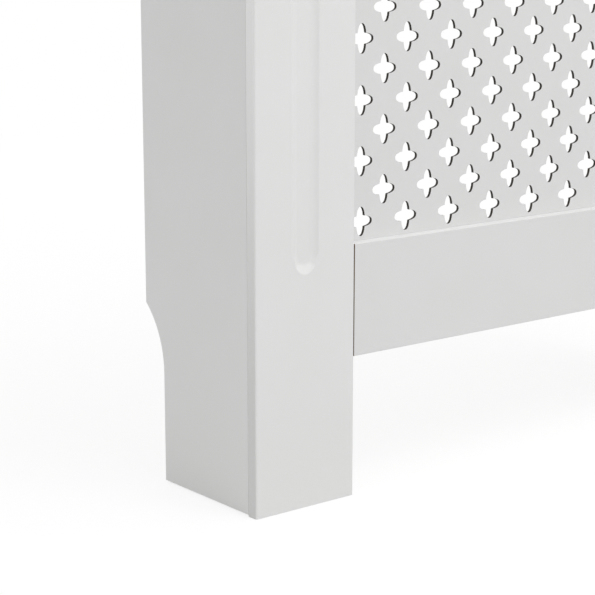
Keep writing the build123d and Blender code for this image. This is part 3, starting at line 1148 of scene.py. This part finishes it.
@dataclass
class PiercedSheet:
    """The thin sheet behind the frame, with four-petalled holes on a staggered lattice."""

    step: float = 28.125
    hole_length: float = 27.8
    petal_width: float = 10.6
    fullness: float = 2.4  # exponent of a petal's outline; 2 is an ellipse
    columns: int = 18
    rows: int = 16
    points_per_petal: int = 10
    crisp: float = 40.0  # edges with a sharper turn than this stay crisp

    def petals(self) -> list[tuple[float, float]]:
        """Outline of one hole round its centre: the union of two crossing full ellipses."""
        along, across = self.hole_length / 2, self.petal_width / 2
        crossing = math.atan((along / across) ** (self.fullness / 2))
        count, power = self.points_per_petal, 2 / self.fullness
        petal = [(along * math.cos(a) ** power,
                  math.copysign(across * abs(math.sin(a)) ** power, a)) for a in
                 (crossing * (2 * i / count - 1) for i in range(count))]
        outline = []
        for turn in range(4):
            c, s = round(math.cos(turn * math.pi / 2)), round(math.sin(turn * math.pi / 2))
            outline += [(x * c - y * s, x * s + y * c) for x, y in petal]
        return outline

    def tile(self, x: float, z: float, y: float) -> bpy.types.Object:
        """Four squares of the sheet, two of them pierced, to be repeated over the opening.

        Args:
            x: left edge of the first square.
            z: lower edge of the first square.
            y: the sheet's front face.

        Returns:
            The flat tile.
        """
        step = self.step
        square = [(0.0, 0.0), (step, 0.0), (step, step), (0.0, step)]
        border = drawn("tile", [mm(x + a, y, z + b) for a, b in square], closed=False)
        hole = drawn("tile_hole", [mm(x + step / 2 + a, y, z + step / 2 + b)
                                   for a, b in self.petals()], closed=False)
        for line in (border, hole):
            edit(line)
            pick(line, Pick.VERTS, lambda v: len(v.link_edges) == 1)
            bpy.ops.mesh.edge_face_add()
        pierced = joined("tile", [border, hole])
        edit_all(pierced)
        bpy.ops.mesh.fill(use_beauty=True)
        bpy.ops.object.mode_set(mode="OBJECT")
        second = duplicate(pierced, "tile_pierced")
        edit_all(second)
        bpy.ops.transform.translate(value=mm(step, 0, step))
        plain = [drawn("tile_plain", [mm(x + a + dx, y, z + b + dz) for a, b in square])
                 for dx, dz in ((step, 0), (0, step))]
        return joined("tile", [pierced, second, *plain])

    def sheet(self, finishes: Finishes) -> bpy.types.Object:
        """The sheet: tiles repeated, a plain border pulled out round them, then its thickness.

        Args:
            finishes: gives those of both faces and of the hole walls and outer edges.

        Returns:
            The finished mesh object.
        """
        low, high = box_mm("grille_panel")
        width, height = self.columns * self.step, self.rows * self.step
        left, bottom = (low.x + high.x - width) / 2, (low.z + high.z - height) / 2
        sheet = self.tile(left, bottom, low.y)
        for axis, count in ((0, self.columns // 2), (2, self.rows // 2)):
            offset = Vector((0, 0, 0))
            offset[axis] = 2 * self.step * MM
            modify(sheet, "ARRAY", count=count, use_relative_offset=False,
                   use_constant_offset=True, constant_offset_displace=offset,
                   use_merge_vertices=True, merge_threshold=SAME)
        edit(sheet)
        for axis, seam, target in ((0, left, low.x), (0, left + width, high.x),
                                   (2, bottom, low.z), (2, bottom + height, high.z)):
            pick(sheet, Pick.EDGES, lambda e: all(near(v.co[axis], seam) for v in e.verts))
            move = Vector((0, 0, 0))
            move[axis] = (target - seam) * MM
            bpy.ops.mesh.extrude_region_move(TRANSFORM_OT_translate={"value": move})
        self.face_front(sheet)
        give(sheet, finishes.sheet, finishes.scorched)
        modify(sheet, "SOLIDIFY", thickness=(high.y - low.y) * MM, offset=-1.0,
               material_offset_rim=1)
        sheet.name = sheet.data.name = "pierced_hardboard"
        bpy.ops.object.shade_smooth_by_angle(angle=math.radians(self.crisp))
        return sheet

    def face_front(self, sheet: bpy.types.Object) -> None:
        """Merges the tiles' seams and turns the flat sheet's faces to the front."""
        bpy.ops.mesh.select_all(action="SELECT")
        bpy.ops.mesh.remove_doubles(threshold=SAME)
        bpy.ops.mesh.normals_make_consistent(inside=False)
        mesh = bmesh.from_edit_mesh(sheet.data)
        mesh.faces.ensure_lookup_table()
        if mesh.faces[0].normal.y > 0:
            bpy.ops.mesh.flip_normals()
        bpy.ops.object.mode_set(mode="OBJECT")

    def build(self, finishes: Finishes) -> None:
        """Makes and fits the sheet."""
        fit(self.sheet(finishes), "grille_panel", "pierced_sheet")


@dataclass
class Screws:
    """Zinc-plated screws with cross recesses: pan heads for thin sheet, countersunk for wood."""

    shank: float = 3.5
    core: float = 2.5
    head: float = 7.0
    pan_height: float = 2.2
    sink: float = 2.2
    long: float = 25.0
    short: float = 10.5
    tip: float = 2.5
    pitch: float = 1.4
    ridge: tuple[float, float] = (0.4, 0.7)  # where a thread's ridge starts and peaks in its pitch
    recess_arm: float = 4.0
    recess_width: float = 0.95
    recess_depth: float = 1.3
    recess_taper: float = 0.45  # the blades' width at the recess's floor, as a share
    crown: tuple[tuple[float, float], ...] = ((1.7, 0.0), (2.6, 0.25), (3.2, 0.8))
    crown_rim: float = 1.5  # below the crown's top
    pan_neck: float = 0.4  # from the seat to the thread
    long_neck: float = 5.0
    neck_run: float = 0.5  # over which the long neck draws in to the core
    flush: float = 0.05  # how far a countersunk face lies below the wood's
    flush_rim: float = 0.2  # width of its chamfer, and how far below the wood's it ends
    seat_gap: float = 0.15
    seat_point: float = 2.0  # how far a seat runs on to a point
    clear: float = 1.0  # how far a cutter stands out of the face that it cuts
    crisp: float = 35.0  # edges with a sharper turn than this stay crisp
    steps: int = 16
    seat_steps: int = 24

    def thread(self, start: float, end: float) -> list[tuple[float, float]]:
        """Radius and height of each point along a ridged shank down to its point."""
        core, crest, pitch = self.core / 2, self.shank / 2, self.pitch
        count = int((end - self.tip - start) / pitch)
        ridges = []
        for turn in range(count):
            z = start + turn * pitch
            ridges += [(core, z + self.ridge[0] * pitch), (crest, z + self.ridge[1] * pitch),
                       (core, z + pitch)]
        return [(core, start), *ridges, (core, end - self.tip), (0.0, end)]

    def recess_tool(self, face: float) -> list[bpy.types.Object]:
        """The two crossing blades that punch a cross into a head whose face is at a height."""
        arm, half = self.recess_arm / 2, self.recess_width / 2
        low, high = face - self.clear, face + self.recess_depth
        blades = [block("recess_tool", mm(-arm, -half, low), mm(arm, half, high)),
                  block("recess_tool", mm(-half, -arm, low), mm(half, arm, high))]
        for blade in blades:
            edit(blade)
            pick(blade, Pick.FACES, lambda f: f.normal.z > FACING)
            bpy.ops.transform.resize(value=(self.recess_taper, self.recess_taper, 1.0),
                                     center_override=(0, 0, high * MM))
            bpy.ops.object.mode_set(mode="OBJECT")
        return blades

    def master(self, head: Head) -> bpy.types.Object:
        """One screw along +Z, with the seat of its head, or its flush face, at the origin.

        Args:
            head: which of the two heads it has.

        Returns:
            The screw, to be copied.
        """
        rim = self.head / 2
        if head is Head.PAN:
            face, end, start = -self.pan_height, self.short, self.pan_neck
            crown = [(radius, face + depth) for radius, depth in self.crown]
            top = [(0.0, face), *crown, (rim, face + self.crown_rim), (rim, 0.0)]
        else:
            face, end, start = 0.0, self.long, self.long_neck
            top = [(0.0, self.flush), (rim - self.flush_rim, self.flush), (rim, self.flush_rim),
                   (self.shank / 2, self.sink), (self.shank / 2, start - self.neck_run)]
        screw = turned(f"{head.value}_screw", top + self.thread(start, end), self.steps)
        cut(screw, *self.recess_tool(face))
        smooth(screw, self.crisp)
        return screw

    def seats(self, wood: bpy.types.Object, frames: Sequence[Matrix]) -> None:
        """Cuts the seats of countersunk heads, each a little wider than its head.

        Args:
            wood: the piece that is cut.
            frames: the screws' frames.
        """
        rim = self.head / 2 + self.seat_gap
        profile = [(0.0, -self.clear), (rim, -self.clear), (rim, 0.0),
                   (self.shank / 2, self.sink), (0.0, self.sink + self.seat_point)]
        cone = turned("seat_tool", profile, self.seat_steps)
        cut(wood, *(placed(cone, "seat", frame) for frame in frames))
        bpy.data.objects.remove(cone)


@dataclass
class Places:
    """Where the fasteners and blocks go, as frames whose +Z points along the screw."""

    screw_inset: float = 45.0
    batten_screws: int = 3
    lap: float = 25.0
    corner: float = 90.0
    block_size: float = 16.0
    block_pitch: float = 18.0
    side_block_inset: float = 32.0
    front_block_x: float = 170.0
    bracket_end: float = 12.0
    bracket_pitch: float = 18.0

    def batten(self) -> list[Matrix]:
        """Screws of the right-hand batten into the side panel."""
        low, high = box_mm("right_corner_batten")
        first, last = low.z + self.screw_inset, high.z - self.screw_inset
        heights = [first + (last - first) * i / (self.batten_screws - 1)
                   for i in range(self.batten_screws)]
        return [frame_at(mm(low.x, (low.y + high.y) / 2, z), (1, 0, 0)) for z in heights]

    def sheet(self) -> list[Matrix]:
        """Screws round the pierced sheet, in the middle of its lap."""
        low, high = box_mm("grille_panel")
        half, inset = high.x - self.lap, self.lap / 2
        bottom, top = low.z + self.lap, high.z - self.lap
        spots = [(x, z) for x in (self.corner - half, half - self.corner)
                 for z in (low.z + inset, high.z - inset)]
        spots += [(x, z) for x in (-half - inset, half + inset)
                  for z in (bottom + self.corner, top - self.corner)]
        return [frame_at(mm(x, high.y, z), (0, -1, 0)) for x, z in spots]

    def bracket(self) -> list[Matrix]:
        """Screws of the right-hand bracket into the side panel."""
        low, high = box_mm("right_wall_bracket")
        seat, z = high.x - WallBrackets.sheet, (low.z + high.z) / 2
        return [frame_at(mm(seat, low.y + self.bracket_end + i * self.bracket_pitch, z), (1, 0, 0))
                for i in range(2)]

    def side_blocks(self) -> list[Matrix]:
        """Frames of the right-hand blocks: X away from the panel and Z down from the top."""
        low, high = box_mm("right_side_panel")
        inner, rear = low.x, high.y
        batten, under = box_mm("right_corner_batten")[1].y, box_mm("top_board")[0].z
        return [axes_at(mm(inner, y, under), (-1, 0, 0), (0, 0, -1))
                for y in (batten + self.side_block_inset, rear - self.side_block_inset)]

    def front_blocks(self) -> list[Matrix]:
        """Frames of the blocks behind the top rail, with X away from the rail."""
        back, under = box_mm("top_rail")[1].y, box_mm("top_board")[0].z
        return [axes_at(mm(x, back, under), (0, 1, 0), (0, 0, -1))
                for x in (-self.front_block_x, self.front_block_x)]

    def block_screws(self) -> list[Matrix]:
        """One block's screws in its own frame: into the wall beside it and up into the top."""
        middle, offset = self.block_size / 2, self.block_pitch / 2
        return [frame_at(mm(self.block_size, -offset, middle), (-1, 0, 0)),
                frame_at(mm(middle, offset, self.block_size), (0, 0, -1))]


@dataclass
class Woodwork:
    """Hidden timber: the corner battens and the dowels of the rail joints."""

    screws: Screws
    places: Places
    batten_arris: float = 1.2
    dowel_radius: float = 3.0
    dowel_length: float = 30.0
    dowel_edge: float = 26.0
    dowel_sides: int = 24
    dowel_chamfer: float = 0.8
    dowel_crisp: float = 20.0  # edges with a sharper turn than this stay crisp
    groove: float = 0.3
    groove_inset: float = 0.12
    joint_gap: float = 0.8

    def batten(self, side: Side) -> bpy.types.Object:
        """One batten with eased arrises and seats for its screws.

        Args:
            side: which end of the cabinet it stands at.

        Returns:
            The finished mesh object.
        """
        batten = block(f"{side.word}_planed_batten", *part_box("right_corner_batten"))
        bevel(batten, lambda e: True, self.batten_arris, steps=2)
        self.screws.seats(batten, self.places.batten())
        if side is Side.LEFT:
            mirrored(batten)
        smooth(batten)
        return batten

    def dowel(self) -> bpy.types.Object:
        """One grooved dowel along X with chamfered ends, at the origin."""
        clear_bench()
        bpy.ops.mesh.primitive_cylinder_add(
            vertices=self.dowel_sides, radius=self.dowel_radius * MM,
            depth=self.dowel_length * MM, rotation=(0, math.pi / 2, 0))
        dowel = settle("grooved_dowel")
        half = self.dowel_length / 2
        bevel(dowel, lambda e: square_to(e, "x"), self.dowel_chamfer, steps=1)
        edit(dowel)
        slice_angle = 2 * math.pi / self.dowel_sides

        def grooved(face: bmesh.types.BMFace) -> bool:
            """Whether a long side face is one of every second."""
            spot = face.calc_center_median()
            number = round(math.atan2(spot.z, spot.y) / slice_angle - 0.5)
            return abs(face.normal.x) < 1 - FACING and abs(spot.x) < half * MM and number % 2 == 0

        pick(dowel, Pick.FACES, grooved)
        bpy.ops.mesh.inset(thickness=self.groove_inset * MM, depth=-self.groove * MM,
                           use_individual=True)
        bpy.ops.object.mode_set(mode="OBJECT")
        smooth(dowel, self.dowel_crisp)
        return dowel

    def dowels(self, side: Side) -> bpy.types.Object:
        """The four dowels between one post and the rails."""
        rails = [box_mm("bottom_rail"), box_mm("top_rail")]
        middle = (rails[0][0].y + rails[0][1].y) / 2
        reach = box_mm("right_post")[0].x - self.joint_gap / 2
        heights = [z for low, high in rails
                   for z in (low.z + self.dowel_edge, high.z - self.dowel_edge)]
        frames = [Matrix.Translation(mm(side.value * reach, middle, z)) for z in heights]
        master = self.dowel()
        dowels = spread(master, f"{side.word}_grooved_dowels", frames)
        bpy.data.objects.remove(master)
        return dowels

    def build(self, finishes: Finishes) -> None:
        """Makes and fits the battens and dowels."""
        for side in Side:
            fit(self.batten(side), f"{side.word}_corner_batten", "batten_timber", finishes.pine)
            fit(self.dowels(side), f"{side.word}_rail_dowels", "dowel_timber", finishes.beech)


@dataclass
class FixingBlocks:
    """Moulded blocks that hold the top board to the panels and to the top rail."""

    screws: Screws
    places: Places
    size: float = 16.0
    length: float = 36.0
    free_bevel: float = 4.0
    rounding: float = 0.7
    panel_inset: float = 2.2
    panel_slope: float = 0.4
    panel_depth: float = 0.5
    end_area: float = 5e-5  # square metres; an end face is larger and the rounded edges smaller

    def master(self) -> bpy.types.Object:
        """One block in its own frame, with a sunk panel at each end and its screw seats."""
        size, half = self.size, self.length / 2
        body = block("moulded_block", mm(0, -half, 0), mm(size, half, size))
        bevel(body, lambda e: lies(e, x=size, z=size), self.free_bevel, steps=1)
        bevel(body, lambda e: sharp(e, turn=0.5) and not lies(e, x=0) and not lies(e, z=0),
              self.rounding, steps=3)
        edit(body)
        pick(body, Pick.FACES, lambda f: abs(f.normal.y) > FACING and f.calc_area() > self.end_area)
        bpy.ops.mesh.inset(thickness=self.panel_inset * MM, depth=0, use_individual=True)
        bpy.ops.mesh.inset(thickness=self.panel_slope * MM, depth=-self.panel_depth * MM,
                           use_individual=True)
        bpy.ops.object.mode_set(mode="OBJECT")
        self.screws.seats(body, self.places.block_screws())
        smooth(body)
        return body

    def build(self, finishes: Finishes) -> None:
        """Makes and fits the three groups of blocks."""
        master = self.master()
        right = spread(master, "right_moulded_blocks", self.places.side_blocks())
        left = mirrored(duplicate(right, "left_moulded_blocks"))
        front = spread(master, "front_moulded_blocks", self.places.front_blocks())
        bpy.data.objects.remove(master)
        for piece, node in ((left, "left_top_blocks"), (right, "right_top_blocks"),
                            (front, "front_top_blocks")):
            fit(piece, node, "block_plastic", finishes.nylon)


@dataclass
class WallBrackets:
    """Bent steel angles that hold the cabinet to the wall, one at each side panel."""

    sheet: float = 2.0
    bend: float = 2.0
    clipped: float = 5.0
    wall_hole: float = 5.0
    hole_edge: float = 12.0
    arris: float = 0.25
    steps: int = 6
    hole_sides: int = 32
    drill: float = 10.0  # length of the cutter, half of it on each side of the rear face

    def bracket(self, side: Side) -> bpy.types.Object:
        """One angle: its section drawn, pulled to its height, its corners clipped and drilled.

        Args:
            side: which end of the cabinet it stands at.

        Returns:
            The finished mesh object.
        """
        low, high = box_mm("right_wall_bracket")
        sheet, bend = self.sheet, self.bend
        centre = (high.x - bend - sheet, high.y - bend - sheet)
        outer = arc(centre, bend + sheet, 0, 90, self.steps)
        inner = arc(centre, bend, 90, 0, self.steps)
        section = [(high.x, low.y), *outer, (low.x, high.y), (low.x, high.y - sheet), *inner,
                   (high.x - sheet, low.y)]
        angle = drawn(f"{side.word}_bent_bracket", [mm(x, y, low.z) for x, y in section])
        pulled(angle, mm(0, 0, high.z - low.z))
        bevel(angle, lambda e: lies(e, x=low.x) and span(e, "y") > MM, self.clipped, steps=4)
        bevel(angle, lambda e: lies(e, y=low.y) and span(e, "x") > MM, self.clipped, steps=4)
        clear_bench()
        bpy.ops.mesh.primitive_cylinder_add(
            vertices=self.hole_sides, radius=self.wall_hole / 2 * MM, depth=self.drill * MM,
            rotation=(math.pi / 2, 0, 0),
            location=mm(low.x + self.hole_edge, high.y, (low.z + high.z) / 2))
        cut(angle, settle("wall_hole_tool"))
        bevel(angle, sharp, self.arris, steps=2)
        if side is Side.LEFT:
            mirrored(angle)
        smooth(angle)
        return angle

    def build(self, finishes: Finishes) -> None:
        """Makes and fits both brackets."""
        for side in Side:
            fit(self.bracket(side), f"{side.word}_wall_bracket", "bracket_steel", finishes.zinc)


def fit_screws(screws: Screws, places: Places, finishes: Finishes) -> None:
    """Copies the two master screws to every place and fits them group by group.

    Args:
        screws: makes the masters.
        places: gives the places.
        finishes: gives the screws' finish.
    """
    pan, sunk = screws.master(Head.PAN), screws.master(Head.COUNTERSUNK)
    flip = Matrix.Diagonal((-1, 1, 1, 1))
    in_blocks = [frame @ spot for frame in places.front_blocks() for spot in places.block_screws()]
    at_sides = [frame @ spot for frame in places.side_blocks() for spot in places.block_screws()]
    groups = {
        "grille_screws": (pan, places.sheet()),
        "wall_bracket_screws": (pan, places.bracket() + [flip @ f for f in places.bracket()]),
        "right_batten_screws": (sunk, places.batten()),
        "left_batten_screws": (sunk, [flip @ f for f in places.batten()]),
        "top_block_screws": (sunk, in_blocks + at_sides + [flip @ f for f in at_sides]),
    }
    for node, (master, frames) in groups.items():
        fit(spread(master, f"{node}_turned", frames), node, "screw_steel", finishes.zinc)
    for master in (pan, sunk):
        bpy.data.objects.remove(master)


@dataclass(frozen=True)
class Lamp:
    """One soft square lamp, placed by its direction as seen from the cabinet."""

    name: str
    heading: float  # degrees from the front towards the right-hand end
    height: float  # degrees above the horizontal
    watts: float
    size: float = 1600.0
    distance: float = 3200.0


@dataclass
class Studio:
    """A plain pale floor, a white room and soft lamps, most of their light from the front."""

    floor_half: float = 30000.0
    floor_glow: float = 0.82
    floor_plain: tuple[float, float] = (1300.0, 2900.0)  # distances where shadows have faded out
    floor_colour: str = "FFFFFF"
    bounce_colour: str = "D4D4D4"
    room: float = 0.76
    aim: tuple[float, float, float] = (-250.0, -70.0, 450.0)
    lamps: tuple[Lamp, ...] = (
        Lamp("high_lamp", 40.0, 65.0, 21.0),
        Lamp("front_lamp", 10.0, 50.0, 25.0),
        Lamp("rear_lamp", 150.0, 12.0, 8.0),
    )

    def seen(self, tree: bpy.types.NodeTree) -> bpy.types.NodeSocket:
        """How far a ray comes from the camera, a mirror or glass, from 0 to 1."""
        path = add_node(tree, "ShaderNodeLightPath", {})
        straight = add_node(tree, "ShaderNodeMath", {
            0: path.outputs["Is Camera Ray"], 1: path.outputs["Is Glossy Ray"]},
            operation="MAXIMUM")
        every = add_node(tree, "ShaderNodeMath", {
            0: straight.outputs["Value"], 1: path.outputs["Is Transmission Ray"]},
            operation="MAXIMUM")
        return every.outputs["Value"]

    def floor(self) -> None:
        """A wide pale floor that shows nearly white and keeps the cabinet's shadow."""
        half = self.floor_half
        clear_bench()
        bpy.ops.mesh.primitive_plane_add(size=2 * half * MM)
        floor = settle("studio_floor")
        pale = Recipe("pale_floor")
        seen = self.seen(pale.tree)
        tone = pale.blend(seen, self.bounce_colour, self.floor_colour)
        matt = add_node(pale.tree, "ShaderNodeBsdfDiffuse", {"Color": tone})
        glow = add_node(pale.tree, "ShaderNodeEmission", {"Color": WHITE, "Strength": 1.0})
        away = add_node(pale.tree, "ShaderNodeVectorMath", {0: pale.place}, operation="LENGTH")
        reach = (self.floor_plain[0] * MM, self.floor_plain[1] * MM)
        plainer = pale.between(away.outputs["Value"], self.floor_glow, 1.0, reach, "SMOOTHSTEP")
        mix = add_node(pale.tree, "ShaderNodeMixShader", {
            0: pale.count("MULTIPLY", seen, plainer), 1: matt.outputs[0], 2: glow.outputs[0]})
        give(floor, pale.surface(mix.outputs[0]))

    def white_room(self) -> None:
        """An even white room that the camera sees as white."""
        world = bpy.data.worlds.new("white_room")
        bpy.context.scene.world = world
        world.use_nodes = True
        tree = world.node_tree
        tree.nodes.clear()
        light = add_node(tree, "ShaderNodeBackground", {"Strength": self.room, "Color": WHITE})
        white = add_node(tree, "ShaderNodeBackground", {"Strength": 1.0, "Color": WHITE})
        mix = add_node(tree, "ShaderNodeMixShader", {
            0: self.seen(tree), 1: light.outputs[0], 2: white.outputs[0]})
        output = add_node(tree, "ShaderNodeOutputWorld", {"Surface": mix.outputs[0]})
        output.is_active_output = True

    def hang(self, lamp: Lamp) -> None:
        """Hangs one lamp, turned towards the cabinet.

        Args:
            lamp: its direction, power and size.
        """
        light = bpy.data.lights.new(lamp.name, "AREA")
        light.shape = "SQUARE"
        light.size = lamp.size * MM
        light.energy = lamp.watts
        obj = bpy.data.objects.new(lamp.name, light)
        bpy.context.scene.collection.objects.link(obj)
        heading, height = math.radians(lamp.heading), math.radians(lamp.height)
        away = Vector((math.sin(heading) * math.cos(height),
                       -math.cos(heading) * math.cos(height), math.sin(height)))
        obj.location = mm(*self.aim) + away * lamp.distance * MM
        obj.rotation_euler = away.to_track_quat("Z", "Y").to_euler()

    def build(self) -> None:
        """Sets up the floor, the room and the lamps."""
        self.floor()
        self.white_room()
        for lamp in self.lamps:
            self.hang(lamp)
        bpy.context.scene.view_settings.view_transform = "Standard"


@dataclass
class PhotoView:
    """The camera at the photograph's viewing angle, near the lower left front corner."""

    place: tuple[float, float, float] = (-1278.50, -1269.06, 522.76)
    heading: float = 38.7326
    dip: float = 11.9235
    lens: float = 104.49
    sensor: float = 36.0
    seen_from: float = 50.0  # nothing nearer is drawn
    seen_to: float = 100000.0

    def build(self) -> None:
        """Adds the camera and makes it the scene's."""
        data = bpy.data.cameras.new("photo_view")
        data.sensor_fit = "HORIZONTAL"
        data.sensor_width = self.sensor
        data.lens = self.lens
        data.clip_start, data.clip_end = self.seen_from * MM, self.seen_to * MM
        camera = bpy.data.objects.new("photo_view", data)
        bpy.context.scene.collection.objects.link(camera)
        camera.location = mm(*self.place)
        camera.rotation_euler = (math.radians(90 - self.dip), 0.0, math.radians(-self.heading))
        bpy.context.scene.camera = camera


def main() -> None:
    """Builds the view, the studio and the cabinet's pieces in order."""
    logging.basicConfig(level=logging.INFO, format="%(name)s: %(message)s")
    PhotoView().build()
    Studio().build()
    finishes, screws, places = Finishes(), Screws(), Places()
    for maker in (FrontFrame(), SidePanels(), TopBoard(), PiercedSheet(),
                  Woodwork(screws, places), FixingBlocks(screws, places), WallBrackets()):
        maker.build(finishes)
    fit_screws(screws, places, finishes)
    clear_bench()


if __name__ == "__main__":
    main()
